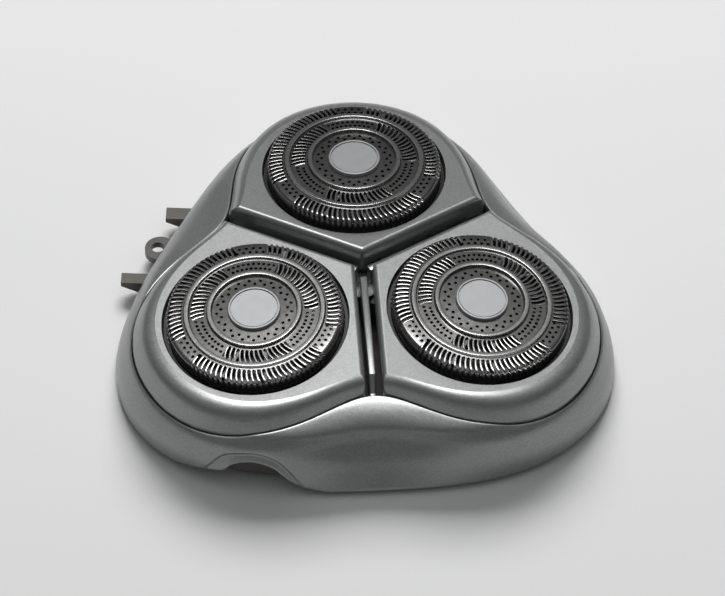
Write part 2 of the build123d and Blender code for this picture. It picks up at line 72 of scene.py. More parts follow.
# The heads stand on a circle round the middle, in millimetres
HEAD_SPACING = 32
HEAD_CIRCLE = HEAD_SPACING / sqrt(3)

# Skirt, as in the CAD model, in millimetres: the seam's radii at a lobe, halfway and at a waist, then
# rows of a height and how far the skirt stands out there from the seam at a lobe, halfway, at a waist
# and at the waist with the hinge
SEAM = (HEAD_CIRCLE + 17.5, HEAD_CIRCLE + 12.4, HEAD_CIRCLE + 4.0)
SKIRT_SECTIONS = (
    (0.0, 2.3, 3.9, 9.0, 9.4),
    (2.5, 1.9, 3.3, 7.6, 8.4),
    (4.6, 1.1, 2.6, 6.4, 7.7),
    (6.3, 0.15, 1.9, 5.1, 7.0),
    (7.4, -1.1, 1.1, 4.5, 6.2),
    (8.4, -2.7, 0.15, 3.9, 4.8),
    (9.5, -5.0, -2.2, 2.5, 2.6),
    (10.5, -7.6, -4.8, 0.15, 0.15),
    (11.4, -10.6, -8.0, -3.0, -3.0),
)
SKIRT_WALL = 1.3
SKIRT_ROOF = 1.1
LIP_ROUND = 0.35
RIM_ROUND = 0.25
RIM_CORNER = (0.09, 0.07)

# The waist with the hinge, and how many degrees it reaches to each side
HINGE_ANGLE = 150
WAIST_REACH = 60

# Opening over the hinge lugs: from side to side, its top, and the width in which each end rises
HINGE_WINDOW = (-8.5, 11.3)
HINGE_WINDOW_TOP = 2.4
HINGE_WINDOW_END = 0.3

# Notch in the rim: how high the rim rises at each angle, and the top of the shallow scoop round it
NOTCH = (
    (0, 0), (212, 0), (216, 0.1), (222, 0.5), (226.2, 1.1), (229.8, 1.65), (232.6, 2.2), (234, 3.3),
    (236, 4.0), (238.8, 4.3), (241.8, 4.0), (244.2, 3.35), (246, 2.45), (248, 1.6), (250.5, 0.85),
    (253.5, 0.4), (258, 0), (360, 0),
)
SCOOP = (
    (0, 0), (225, 0), (228.8, 2.3), (231.2, 4.6), (234.5, 5.6), (237.8, 5.95), (241.2, 5.75), (245, 4.7),
    (247.8, 3.2), (250.2, 1.7), (254, 0), (360, 0),
)
SCOOP_DEPTH = 0.35
SCOOP_STEP = 0.6

# How finely the skirt is divided: in degrees round it, closer where the rim rises, and in steps along
# its wall; then the halvings of a search for a height, and the angle up to which edges look smooth
FINE_ANGLES = ((133, 137), (168, 172), (212, 259))
FINE_STEP = 0.25
COARSE_STEP = 0.75
OUTSIDE_STEPS = 32
LIP_STEPS = 4
INSIDE_STEPS = 16
HALVINGS = 30
SKIRT_SMOOTH = 40

# Ribs in the grooves, the screw bosses outside them and the hub where they meet, in millimetres
RIB_ANGLES = (30, 150, 270)
RIB_WIDTH = 1.0
RIB_START = 1.0
RIB_END = HEAD_CIRCLE + 0.1
RIB_DIVE = 1.8
RIB_FOOT = 6.6
RIB_TOP_IN = 11.36
RIB_TOP_OUT = 10.48
BOSS_CIRCLE = SEAM[2] + 2.7
BOSS_RADIUS = 2.2
BOSS_BORE = 0.9
BOSS_FOOT = 4.4
BOSS_TOP = 6.5
HUB_TOP = 8.2
HUB_RADIUS = 2.3
RIB_ROUND = 0.15
BOSS_STEPS = 32

# Guard, with the radii and heights of the CAD model; heights are over the head's origin
SHEET = 0.4 * MM
GUARD_RADIUS = 12.6 * MM
GUARD_FOOT = -2.4 * MM
FLANGE_RADIUS = 13.0 * MM
OUTER_TRACK = 1.85 * MM
MIDDLE_TRACK = 2.1 * MM
INNER_TRACK = 2.2 * MM
OUTER_RIDGE_RADIUS = 9.74 * MM
OUTER_RIDGE_TOP = 2.35 * MM
INNER_RIDGE_RADIUS = 6.43 * MM
INNER_RIDGE_TOP = 2.7 * MM
RIDGE_WIDTH = 0.62 * MM
RIDGE_SLOPE = 0.15 * MM
RIDGE_ROUND = 0.12 * MM
GUARD_ROUND = 0.55 * MM
STUB_RADIUS = 3.1 * MM
TRACK_DOME = 0.12 * MM
GUARD_STEPS = 192
HEAD_SMOOTH = 32

# Slots and holes of the guard; a sector is where holes take the place of the outer slots
SECTOR_ANGLES = (90, 210, 330)
SECTOR_PITCH = 120
OUTER_PITCH = 3.75
OUTER_SECTOR = 11.5
OUTER_SLOT = 0.41 * MM
OUTER_SLOT_DROP = 0.75 * MM
OUTER_SWEEP = 0.75 * MM
OUTER_HOLE_ROWS = ((10.75 * MM, (-10, -5, 0, 5, 10)), (11.5 * MM, (-7.5, -2.5, 2.5, 7.5)))
MIDDLE_PITCH = 5.0
MIDDLE_SLOT = 0.44 * MM
MIDDLE_SLOTS = 13
MIDDLE_SWEEP = 0.5 * MM
MIDDLE_HOLE_RADII = (7.6 * MM, 8.45 * MM)
MIDDLE_HOLES = 10
INNER_HOLE_RADII = (4.75 * MM, 5.35 * MM)
INNER_HOLES = 21
HOLE_RADIUS = 0.25 * MM
CUT_DEPTH = 2 * SHEET
OUTER_SLOT_GAP = 0.3 * MM
MIDDLE_SLOT_GAPS = (0.32 * MM, 0.24 * MM)
OUTER_SLOT_START = OUTER_RIDGE_RADIUS + RIDGE_WIDTH / 2 + RIDGE_SLOPE + OUTER_SLOT_GAP
MIDDLE_SLOT_START = INNER_RIDGE_RADIUS + RIDGE_WIDTH / 2 + RIDGE_SLOPE + MIDDLE_SLOT_GAPS[0]
MIDDLE_SLOT_END = OUTER_RIDGE_RADIUS - RIDGE_WIDTH / 2 - RIDGE_SLOPE - MIDDLE_SLOT_GAPS[1]

# About half of the turn, in degrees, that a slot makes from its inner to its outer end
SLOT_LEAN = 1.6

# How far the bars between the slots are rounded, and the share of painted highlight on their crowns
BAR_CROWN = 0.16 * MM
CROWN_HIGHLIGHT = 0.45

# Whole pitches added before a share is taken, so that no angle is negative
ABOVE_ZERO = 100

# Centre disc
DISC_RADIUS = 3.75 * MM
DISC_RIM_TOP = 2.8 * MM
DISC_RIM = 0.35 * MM
DISC_ROUND = 0.15 * MM
DISC_FACE = 2.68 * MM
DISC_GROOVE = 0.12 * MM
DISC_FOOT = 1.3 * MM
DISC_STEPS = 96

# Lamps: the key lamp shows only in reflections, and the back lamp only lights surfaces
KEY_PLACE = (-0.03, 0.19, 0.98)
KEY_SIZE = (0.5, 0.4)
KEY_POWER = 9
BACK_PLACE = (0.06, 0.8, 0.72)
BACK_SIZE = (0.6, 0.4)
BACK_POWER = 13.2

# A soft room, brighter overhead; matt surfaces miss a share of the overhead light
SKY_COLOR = (0.97, 0.985, 1, 1)
SKY_LEVEL = 0.13
SKY_OVERHEAD = 0.6
SKY_MATT_LOSS = 0.6

# The floor lies a little under the rim, which gives a shadow like the photo's
FLOOR_DROP = 0.8 * MM
FLOOR_SIZE = 4
FLOOR_COLOR = (0.8, 0.8, 0.79)
FLOOR_SHADE = (0.78, 0.78, 0.78)
FLOOR_ROUGHNESS = 0.9
FLOOR_GRAIN = 60 * MM

# Silver paint: its roughness, the size of its flakes, and the scales of its change of shade, of its
# change of gloss and of the ripple under it
PAINT_ROUGHNESS = 0.35
PAINT_FLAKE = 0.16 * MM
PAINT_PATCH = 9 * MM
PAINT_GRAIN = 0.5 * MM
PAINT_RIPPLE = 0.3 * MM
PAINT_DEPTH = 0.004 * MM

# Plastic and steel: scales of their changes of shade and gloss, of scratches and of turned lines, and
# depths of relief
PLASTIC_PATCH = 4 * MM
PLASTIC_DEPTH = 0.012 * MM
STEEL_PATCH = 3 * MM
STEEL_SCRATCH = 0.12 * MM
STEEL_DEPTH = 0.003 * MM
TURNED_LINE = 0.09 * MM
TURNED_PATCH = 1.6 * MM
TURNED_GRAIN = 0.8 * MM
FINE_DETAIL = 3.0

# Sockets of a Mix node set to colours
MIX_MASK = 0
MIX_FIRST = 6
MIX_SECOND = 7
MIX_RESULT = 2


def add_camera():
    """Places the camera at the photo's viewing angle."""
    elevation, azimuth, roll = (radians(a) for a in (VIEW_ELEVATION, VIEW_AZIMUTH, VIEW_ROLL))
    back = Vector((sin(azimuth) * cos(elevation), -cos(azimuth) * cos(elevation), sin(elevation)))
    right = Vector((cos(azimuth), sin(azimuth), 0))
    up = back.cross(right)
    right, up = right * cos(roll) + up * sin(roll), up * cos(roll) - right * sin(roll)
    data = bpy.data.cameras.new("camera")
    data.sensor_width = SENSOR_WIDTH
    data.lens = SENSOR_WIDTH * FOCAL_PIXELS / PHOTO_WIDTH
    data.clip_start, data.clip_end = VIEW_CLIP
    camera = bpy.data.objects.new("camera", data)
    turn = Matrix((right, up, back)).transposed().to_4x4()
    camera.matrix_world = Matrix.Translation(VIEW_TARGET + back * VIEW_DISTANCE) @ turn
    bpy.context.scene.collection.objects.link(camera)
    bpy.context.scene.camera = camera


def add_light(name, place, size, power):
    """Adds a soft rectangular lamp that faces the middle of the part."""
    data = bpy.data.lights.new(name, "AREA")
    data.shape = "RECTANGLE"
    data.size, data.size_y = size
    data.energy = power
    lamp = bpy.data.objects.new(name, data)
    lamp.location = Vector(place)
    lamp.rotation_euler = Vector(place).to_track_quat("Z", "Y").to_euler()
    bpy.context.scene.collection.objects.link(lamp)
    return lamp


class Link:
    """An output of a shader node, on which Python's operators add Math nodes."""

    def __init__(self, tree, socket=None):
        self.tree = tree
        self.socket = socket

    def node(self, kind, settings, sockets, output=0):
        """Adds a node, sets it up, then fills its sockets with values or links."""
        made = self.tree.nodes.new(kind)
        for name, value in settings.items():
            setattr(made, name, value)
        for name, value in sockets.items():
            if isinstance(value, Link):
                self.tree.links.new(value.socket, made.inputs[name])
            else:
                made.inputs[name].default_value = value
        return Link(self.tree, made.outputs[output])

    def math(self, operation, first, second=0.0):
        """Adds a Math node on one or two values or links."""
        return self.node("ShaderNodeMath", {"operation": operation}, {0: first, 1: second})

    def __add__(self, other):
        return self.math("ADD", self, other)

    def __sub__(self, other):
        return self.math("SUBTRACT", self, other)

    def __rsub__(self, other):
        return self.math("SUBTRACT", other, self)

    def __mul__(self, other):
        return self.math("MULTIPLY", self, other)

    __radd__ = __add__
    __rmul__ = __mul__


class Finish:
    """A material in the making: its shader, and the textures that vary it."""

    def __init__(self, name, color, metallic, roughness):
        self.material = bpy.data.materials.new(name)
        self.material.use_nodes = True
        self.material.diffuse_color = (*color, 1)
        self.shader = self.material.node_tree.nodes["Principled BSDF"]
        self.color = (*color, 1)
        self.shader.inputs["Base Color"].default_value = self.color
        self.shader.inputs["Metallic"].default_value = metallic
        self.shader.inputs["Roughness"].default_value = roughness
        self.link = Link(self.material.node_tree)
        self.place = self.link.node("ShaderNodeTexCoord", {}, {}, "Object")

    def drive(self, name, value):
        """Lets a pattern set one of the shader's values, place by place."""
        self.material.node_tree.links.new(value.socket, self.shader.inputs[name])

    def noise(self, grain, detail=2.0, place=None):
        """Noise from 0 to 1 whose lumps are about one grain across."""
        sockets = {"Vector": place or self.place, "Scale": 1 / grain, "Detail": detail}
        return self.link.node("ShaderNodeTexNoise", {}, sockets, "Fac")

    def flakes(self, grain):
        """A random shade for each flake of paint."""
        sockets = {"Vector": self.place, "Scale": 1 / grain}
        cells = self.link.node("ShaderNodeTexVoronoi", {}, sockets, "Color")
        return self.link.node("ShaderNodeSeparateColor", {}, {"Color": cells}, 0)

    def tint(self, mask, color):
        """Mixes another colour in by a mask."""
        sockets = {MIX_MASK: mask, MIX_FIRST: self.color, MIX_SECOND: (*color, 1)}
        mixed = self.link.node("ShaderNodeMix", {"data_type": "RGBA"}, sockets, MIX_RESULT)
        self.drive("Base Color", mixed)

    def rough(self, middle, *patterns):
        """Varies the roughness round a middle value by pairs of a pattern from 0 to 1 and its spread."""
        total = middle - sum(spread for _, spread in patterns) / 2
        for pattern, spread in patterns:
            total = pattern * spread + total
        self.drive("Roughness", total)

    def bump(self, height, depth):
        """Raises the surface by a height from 0 to 1 times a depth."""
        sockets = {"Height": height, "Distance": depth, "Strength": 1.0}
        self.drive("Normal", self.link.node("ShaderNodeBump", {}, sockets))


def silver_paint():
    """Satin silver paint with fine flakes over slightly uneven plastic."""
    paint = Finish("silver_paint", (0.25, 0.257, 0.252), 0.75, PAINT_ROUGHNESS)
    flakes = paint.flakes(PAINT_FLAKE)
    paint.tint(flakes * 0.35 + paint.noise(PAINT_PATCH) * 0.25, (0.42, 0.432, 0.43))
    paint.rough(PAINT_ROUGHNESS, (paint.noise(PAINT_GRAIN), 0.1), (flakes, 0.06))
    paint.bump(flakes * 0.5 + paint.noise(PAINT_RIPPLE) * 0.5, PAINT_DEPTH)
    return paint.material


def plastic(name, color, shine_color, roughness, grain):
    """Moulded plastic with a fine grain and a slight change of shade."""
    moulded = Finish(name, color, 0, roughness)
    moulded.tint(moulded.noise(PLASTIC_PATCH), shine_color)
    moulded.rough(roughness, (moulded.noise(grain), 0.14))
    moulded.bump(moulded.noise(grain), PLASTIC_DEPTH)
    return moulded.material


def steel(name, color, lighter_color, roughness, stretch):
    """Ground steel: fine scratches along one direction, and a slightly uneven tone."""
    metal = Finish(name, color, 1, roughness)
    along = metal.link.node("ShaderNodeMapping", {}, {"Vector": metal.place, "Scale": stretch})
    scratches = metal.noise(STEEL_SCRATCH, FINE_DETAIL, along)
    metal.tint(scratches * 0.6 + metal.noise(STEEL_PATCH) * 0.3, lighter_color)
    metal.rough(roughness, (scratches, 0.16))
    metal.bump(scratches, STEEL_DEPTH)
    return metal.material


def head_polar(metal):
    """Radius and angle round the head's axis, as the piece was made before it went onto its head."""
    local = metal.link.node("ShaderNodeAttribute", {"attribute_name": "head_place"}, {}, "Vector")
    across = metal.link.node("ShaderNodeSeparateXYZ", {}, {"Vector": local}, 0)
    along = metal.link.node("ShaderNodeSeparateXYZ", {}, {"Vector": local}, 1)
    out = metal.link.math("SQRT", across * across + along * along)
    return out, metal.link.math("ARCTAN2", along, across)


def turned_metal(name, color, lighter_color, roughness, depth, slotted=False):
    """Metal with fine turned rings round the head's axis; a slotted one has painted highlights on its
    bars and ridges.
    """
    metal = Finish(name, color, 1, roughness)
    out, turn = head_polar(metal)
    rings = metal.link.node("ShaderNodeCombineXYZ", {}, {"X": out})
    lines = metal.noise(TURNED_LINE, FINE_DETAIL, rings)
    bare = lines * 0.5 + metal.noise(TURNED_PATCH) * 0.4
    metal.rough(roughness, (lines, 0.12), (metal.noise(TURNED_GRAIN), 0.1))
    if slotted:
        crown = crowned_bars(metal, out, turn)
        # The bars' crowns and the two ridges take the lighter colour as a painted highlight; the turned
        # tone under it varies at random.
        metal.tint(bare * 0.5 + crown * CROWN_HIGHLIGHT + ridge_highlight(metal, out), lighter_color)
        metal.bump(crown + lines * (depth / BAR_CROWN), BAR_CROWN)
    else:
        metal.tint(bare, lighter_color)
        metal.bump(lines, depth)
    return metal.material


def ridge_highlight(metal, out):
    """1 on the guard's two raised rings, which are painted lighter as a painted highlight, and 0
    elsewhere.
    """
    def near(radius):
        distance = metal.link.math("ABSOLUTE", out - radius)
        return metal.link.math("LESS_THAN", distance, RIDGE_WIDTH / 2 + RIDGE_SLOPE)

    return near(OUTER_RIDGE_RADIUS) + near(INNER_RIDGE_RADIUS)


def crowned_bars(metal, out, turn):
    """Height from 0 to 1 that rounds the bars between the guard's slots."""
    math = metal.link.math

    def cycle(angle, pitch):
        """How far an angle is through its pitch, from 0 to 1."""
        return math("FRACT", angle * (1 / radians(pitch)) + ABOVE_ZERO)

    def track(inner, outer, sweep, pitch, start, first, last):
        """The bars of one track, between two angles past the middle of each sector."""
        share = (out - inner) * (1 / (outer - inner))
        swept = math("DIVIDE", share * share * sweep, out)
        phase = cycle(turn - swept - radians(start), pitch)
        past_middle = cycle(turn - radians(SECTOR_ANGLES[0]), SECTOR_PITCH)
        slotted = math("GREATER_THAN", past_middle, first / SECTOR_PITCH)
        slotted = slotted * math("LESS_THAN", past_middle, last / SECTOR_PITCH)
        inside = math("GREATER_THAN", out, inner) * math("LESS_THAN", out, outer)
        return (1 - phase) * phase * 4 * slotted * inside

    outer_bars = track(
        OUTER_SLOT_START, GUARD_RADIUS + SHEET, OUTER_SWEEP, OUTER_PITCH, 0,
        OUTER_SECTOR - SLOT_LEAN, SECTOR_PITCH - OUTER_SECTOR,
    )
    between = SECTOR_PITCH / 2
    reach = MIDDLE_SLOTS * MIDDLE_PITCH / 2 + SLOT_LEAN
    middle_bars = track(
        MIDDLE_SLOT_START, MIDDLE_SLOT_END, MIDDLE_SWEEP, MIDDLE_PITCH,
        SECTOR_ANGLES[0] + between - SLOT_LEAN, between - reach, between + reach,
    )
    return outer_bars + middle_bars


def rounded(corners, steps=4):
    """Outline of (radius, height, rounding) corners, with each rounding drawn as an arc."""
    outline = []
    for index, (x, y, rounding) in enumerate(corners):
        here = Vector((x, y))
        if not rounding:
            outline.append(here)
            continue
        before = (Vector(corners[index - 1][:2]) - here).normalized()
        after = (Vector(corners[(index + 1) % len(corners)][:2]) - here).normalized()
        half = before.angle(after) / 2
        centre = here + (before + after).normalized() * rounding / sin(half)
        start = (here + before * rounding / tan(half) - centre).normalized()
        end = (here + after * rounding / tan(half) - centre).normalized()
        outline += [centre + start.slerp(end, step / steps) * rounding for step in range(steps + 1)]
    return outline


def edit(operations):
    """Runs operations on the active piece's selected mesh in edit mode."""
    bpy.ops.object.mode_set(mode="EDIT")
    operations()
    bpy.ops.object.mode_set(mode="OBJECT")


def outlined(name, points, fill):
    """A circle primitive whose vertices are moved onto an outline."""
    bpy.ops.object.select_all(action="DESELECT")
    bpy.ops.mesh.primitive_circle_add(vertices=len(points), fill_type=fill)
    piece = bpy.context.object
    piece.name = name
    for vertex, point in zip(piece.data.vertices, points):
        vertex.co = point
    return piece


def spun(name, outline, steps):
    """Spins an outline of (radius, height) points round the axis into a closed solid."""
    piece = outlined(name, [(point[0], 0, point[1]) for point in outline], "NOTHING")

    def turn():
        bpy.ops.mesh.select_all(action="SELECT")
        bpy.ops.mesh.spin(steps=steps, angle=2 * pi, center=(0, 0, 0), axis=(0, 0, 1))
        bpy.ops.mesh.select_all(action="SELECT")
        bpy.ops.mesh.remove_doubles(threshold=WELD)
        bpy.ops.mesh.normals_make_consistent(inside=False)

    edit(turn)
    return piece


def prism(name, outline, low, high):
    """An outline in plan, raised from one height to another."""
    piece = outlined(name, [(x, y, low) for x, y in outline], "NGON")

    def raise_it():
        bpy.ops.mesh.select_all(action="SELECT")
        bpy.ops.mesh.extrude_region_move(TRANSFORM_OT_translate={"value": (0, 0, high - low)})
        bpy.ops.mesh.select_all(action="SELECT")
        bpy.ops.mesh.normals_make_consistent(inside=False)

    edit(raise_it)
    return piece


def slot_outline(inner, outer, width, sweep, round_end, steps=6):
    """A slot that leaves its inner end radially and leans over towards its outer end."""
    path = []
    for step in range(steps + 1):
        share = step / steps
        out = inner + (outer - inner) * share
        turn = sweep * share * share / out
        path.append(Vector((out * cos(turn), out * sin(turn))))
    left, right = [], []
    for index, point in enumerate(path):
        run = (path[min(index + 1, steps)] - path[max(index - 1, 0)]).normalized()
        side = Vector((-run.y, run.x)) * width / 2
        left.append(point + side)
        right.append(point - side)
    start = path[0] - (path[1] - path[0]).normalized() * width / 2
    run = (path[-1] - path[-2]).normalized()
    end = [path[-1] + run * width / 2] if round_end else []
    return [start] + right + end + left[::-1]


def hole_outline(out, sides=8):
    """A small round hole at a radius."""
    turns = [2 * pi * side / sides for side in range(sides)]
    return [Vector((out + HOLE_RADIUS * cos(turn), HOLE_RADIUS * sin(turn))) for turn in turns]


def around(piece, angles):
    """Copies of a piece at each angle round the axis, each with its own mesh, in place of the piece."""
    copies = []
    for angle in angles:
        copy = bpy.data.objects.new(piece.name, piece.data.copy())
        copy.data.transform(Matrix.Rotation(radians(angle), 4, "Z"))
        bpy.context.scene.collection.objects.link(copy)
        copies.append(copy)
    bpy.data.objects.remove(piece)
    return copies


def joined(pieces):
    """Joins pieces into the first of them."""
    bpy.ops.object.select_all(action="DESELECT")
    for piece in pieces:
        piece.select_set(True)
    bpy.context.view_layer.objects.active = pieces[0]
    bpy.ops.object.join()
    return pieces[0]


def soften(piece, width):
    """Rounds a piece's sharp edges."""
    bevel = piece.modifiers.new("edges", "BEVEL")
    bevel.width = width
    bevel.segments = 2
    bevel.limit_method = "ANGLE"
    bpy.context.view_layer.objects.active = piece
    bpy.ops.object.modifier_apply(modifier=bevel.name)


def dress(piece, look):
    """Gives a piece one material."""
    piece.data.materials.clear()
    piece.data.materials.append(look)


def centred(pitch, count):
    """Offsets of a row of places, evenly to both sides of its middle."""
    return [pitch * (index - (count - 1) / 2) for index in range(count)]


def guard_cutters():
    """Every slot and hole of the guard as solids to cut away."""
    outline = slot_outline(OUTER_SLOT_START, GUARD_RADIUS + SHEET, OUTER_SLOT, OUTER_SWEEP, False)
    slot = prism("outer_slot", outline, OUTER_TRACK - OUTER_SLOT_DROP, OUTER_TRACK + SHEET)
    turns = [OUTER_PITCH * index for index in range(round(360 / OUTER_PITCH))]

    def clear(turn):
        """Whether a slot lies outside every sector."""
        offsets = [(turn + SLOT_LEAN - middle + 180) % 360 - 180 for middle in SECTOR_ANGLES]
        return all(abs(offset) > OUTER_SECTOR for offset in offsets)

    cutters = around(slot, [turn for turn in turns if clear(turn)])
    for out, offsets in OUTER_HOLE_ROWS:
        hole = prism("outer_hole", hole_outline(out), OUTER_TRACK - CUT_DEPTH, OUTER_TRACK + SHEET)
        cutters += around(hole, [middle + offset for middle in SECTOR_ANGLES for offset in offsets])
    outline = slot_outline(MIDDLE_SLOT_START, MIDDLE_SLOT_END, MIDDLE_SLOT, MIDDLE_SWEEP, True)
    slot = prism("middle_slot", outline, MIDDLE_TRACK - CUT_DEPTH, MIDDLE_TRACK + SHEET)
    middles = [middle + SECTOR_PITCH / 2 for middle in SECTOR_ANGLES]
    offsets = centred(MIDDLE_PITCH, MIDDLE_SLOTS)
    cutters += around(slot, [middle + offset - SLOT_LEAN for middle in middles for offset in offsets])
    for row, out in enumerate(MIDDLE_HOLE_RADII):
        hole = prism("middle_hole", hole_outline(out), MIDDLE_TRACK - CUT_DEPTH, MIDDLE_TRACK + SHEET)
        offsets = centred(MIDDLE_PITCH, MIDDLE_HOLES - 1 + row)
        cutters += around(hole, [middle + offset for middle in SECTOR_ANGLES for offset in offsets])
    for row, out in enumerate(INNER_HOLE_RADII):
        hole = prism("inner_hole", hole_outline(out), INNER_TRACK - CUT_DEPTH, INNER_TRACK + SHEET)
        cutters += around(hole, [360 / INNER_HOLES * (index + row / 2) for index in range(INNER_HOLES)])
    return joined(cutters)


def ridge(radius, top, outside, inside):
    """Corners of a raised ring, from its outer foot to its inner foot."""
    half = RIDGE_WIDTH / 2
    return [
        (radius + half + RIDGE_SLOPE, outside, 0),
        (radius + half, top, RIDGE_ROUND),
        (radius - half, top, RIDGE_ROUND),
        (radius - half - RIDGE_SLOPE, inside, 0),
    ]


def make_guard():
    """The pressed steel cap: a spun profile with its slots and holes cut through."""
    outer_step = OUTER_RIDGE_RADIUS - RIDGE_WIDTH / 2
    inner_step = INNER_RIDGE_RADIUS - RIDGE_WIDTH / 2
    outer_foot = OUTER_TRACK + TRACK_DOME / 2
    outline = rounded([
        (GUARD_RADIUS - SHEET, GUARD_FOOT, 0),
        (FLANGE_RADIUS, GUARD_FOOT, 0),
        (FLANGE_RADIUS, GUARD_FOOT + SHEET, 0),
        (GUARD_RADIUS, GUARD_FOOT + SHEET, 0),
        (GUARD_RADIUS, OUTER_TRACK - TRACK_DOME, GUARD_ROUND),
        *ridge(OUTER_RIDGE_RADIUS, OUTER_RIDGE_TOP, outer_foot, MIDDLE_TRACK - TRACK_DOME),
        *ridge(INNER_RIDGE_RADIUS, INNER_RIDGE_TOP, MIDDLE_TRACK, INNER_TRACK - TRACK_DOME),
        (STUB_RADIUS, INNER_TRACK, 0),
        (STUB_RADIUS, INNER_TRACK - SHEET, 0),
        (inner_step, INNER_TRACK - SHEET, 0),
        (inner_step, MIDDLE_TRACK - SHEET, 0),
        (outer_step, MIDDLE_TRACK - SHEET, 0),
        (outer_step, OUTER_TRACK - SHEET, 0),
        (GUARD_RADIUS - SHEET, OUTER_TRACK - SHEET, GUARD_ROUND - SHEET),
    ])
    guard = spun("guard", outline, GUARD_STEPS)
    cutters = guard_cutters()
    cut = guard.modifiers.new("slots", "BOOLEAN")
    cut.operation = "DIFFERENCE"
    cut.solver = "MANIFOLD"
    cut.object = cutters
    bpy.context.view_layer.objects.active = guard
    bpy.ops.object.modifier_apply(modifier=cut.name)
    bpy.data.objects.remove(cutters)
    return guard


def make_disc():
    """The centre disc: a turned button with a rounded rim, a fine groove and a bare face."""
    rim_inside = DISC_RADIUS - DISC_RIM
    outline = rounded([
        (0, DISC_FOOT, 0),
        (STUB_RADIUS, DISC_FOOT, 0),
        (STUB_RADIUS, INNER_TRACK, 0),
        (DISC_RADIUS, INNER_TRACK, 0),
        (DISC_RADIUS, DISC_RIM_TOP, DISC_ROUND),
        (rim_inside, DISC_RIM_TOP, DISC_ROUND / 2),
        (rim_inside, DISC_FACE - DISC_GROOVE, 0),
        (rim_inside - DISC_GROOVE, DISC_FACE - DISC_GROOVE, 0),
        (rim_inside - DISC_GROOVE, DISC_FACE, 0),
        (0, DISC_FACE, 0),
    ])
    return spun("centre_disc", outline, DISC_STEPS)


def smooth_row(rows, at):
    """Values at a place on a smooth curve through rows whose first entry rises."""
    last = len(rows) - 1
    index = max(index for index in range(last) if rows[index][0] <= at)
    low, high = rows[index], rows[index + 1]
    before, after = rows[max(index - 1, 0)], rows[min(index + 2, last)]
    span = high[0] - low[0]
    share = (at - low[0]) / span
    values = []
    for a, b, start, end in zip(low[1:], high[1:], before[1:], after[1:]):
        start_slope = (b - start) / (high[0] - before[0]) * span
        end_slope = (end - a) / (after[0] - low[0]) * span
        curve = 2 * (a - b) + start_slope + end_slope
        bend = 3 * (b - a) - 2 * start_slope - end_slope
        values.append(((curve * share + bend) * share + start_slope) * share + a)
    return values


def trefoil(angle, lobe, mid, waist):
    """Radius of a three-lobed outline at an angle from the middle of a lobe."""
    swing = (lobe - waist) / 2 * cos(radians(3 * angle))
    ripple = (lobe - 2 * mid + waist) / 4 * cos(radians(6 * angle))
    return (lobe + 2 * mid + waist) / 4 + swing + ripple


def skirt_radius(angle, height):
    """Radius of the skirt's outside at an angle and a height."""
    lobe, mid, waist, hinge_waist = smooth_row(SKIRT_SECTIONS, height)
    here = hinge_waist if abs(angle - HINGE_ANGLE) < WAIST_REACH else waist
    return trefoil(angle - 90, SEAM[0] + lobe, SEAM[1] + mid, SEAM[2] + here)


def skirt_height(angle, radius):
    """Height at which the skirt's outside comes in to a radius."""
    low, high = 0, SKIRT_SECTIONS[-1][0]
    for _ in range(HALVINGS):
        middle = (low + high) / 2
        if skirt_radius(angle, middle) > radius:
            low = middle
        else:
            high = middle
    return low


def stepped(share):
    """Smooth step from 0 to 1."""
    share = min(max(share, 0), 1)
    return share * share * (3 - 2 * share)


def rim_height(angle):
    """Height of the skirt's rim, which rises at the notch and over the hinge."""
    notch = max(smooth_row(NOTCH, angle)[0], 0)
    if abs(angle - HINGE_ANGLE) > WAIST_REACH:
        return notch
    side = skirt_radius(angle, 0) * sin(radians(angle - HINGE_ANGLE))
    start, end = HINGE_WINDOW
    inside = stepped((side - start) / HINGE_WINDOW_END) * stepped((end - side) / HINGE_WINDOW_END)
    return notch + HINGE_WINDOW_TOP * inside


def skirt_profile(angle):
    """Closed (radius, height) outline of the wall at an angle, with the same number of points at all."""
    seam = trefoil(angle - 90, *SEAM)
    rim = rim_height(angle)
    lip = skirt_height(angle, seam)
    shoulder = skirt_height(angle, seam + LIP_ROUND)
    inner_top = skirt_height(angle, seam + SKIRT_WALL)
    scoop_top = max(smooth_row(SCOOP, angle)[0], 0)
    outer = []
    for step in range(OUTSIDE_STEPS + 1):
        height = rim + RIM_ROUND + (shoulder - rim - RIM_ROUND) * step / OUTSIDE_STEPS
        radius = skirt_radius(angle, height)
        if scoop_top > rim:
            share = min(max((scoop_top - height) / (scoop_top - rim), 0), 1)
            radius -= SCOOP_DEPTH * stepped((scoop_top - height) / SCOOP_STEP) * (1 - share)
        outer.append((radius, height))
    foot = outer[0][0] + (skirt_radius(angle, rim) - skirt_radius(angle, rim + RIM_ROUND))
    under = [(foot - RIM_ROUND, rim), (foot - RIM_CORNER[0], rim + RIM_CORNER[1])]
    rounding = []
    for step in range(1, LIP_STEPS):
        share = step / LIP_STEPS
        radius = seam + LIP_ROUND * (1 - share) ** 2
        height = shoulder * (1 - share) ** 2 + 2 * lip * share * (1 - share)
        rounding.append((radius, height + (lip - LIP_ROUND) * share ** 2))
    wall = [(seam, lip - LIP_ROUND), (seam, inner_top - SKIRT_ROOF)]
    inner = []
    for step in range(1, INSIDE_STEPS + 1):
        height = inner_top + (rim + SKIRT_ROOF - inner_top) * step / INSIDE_STEPS
        inner.append((skirt_radius(angle, height) - SKIRT_WALL, height - SKIRT_ROOF))
    return under + outer + rounding + wall + inner


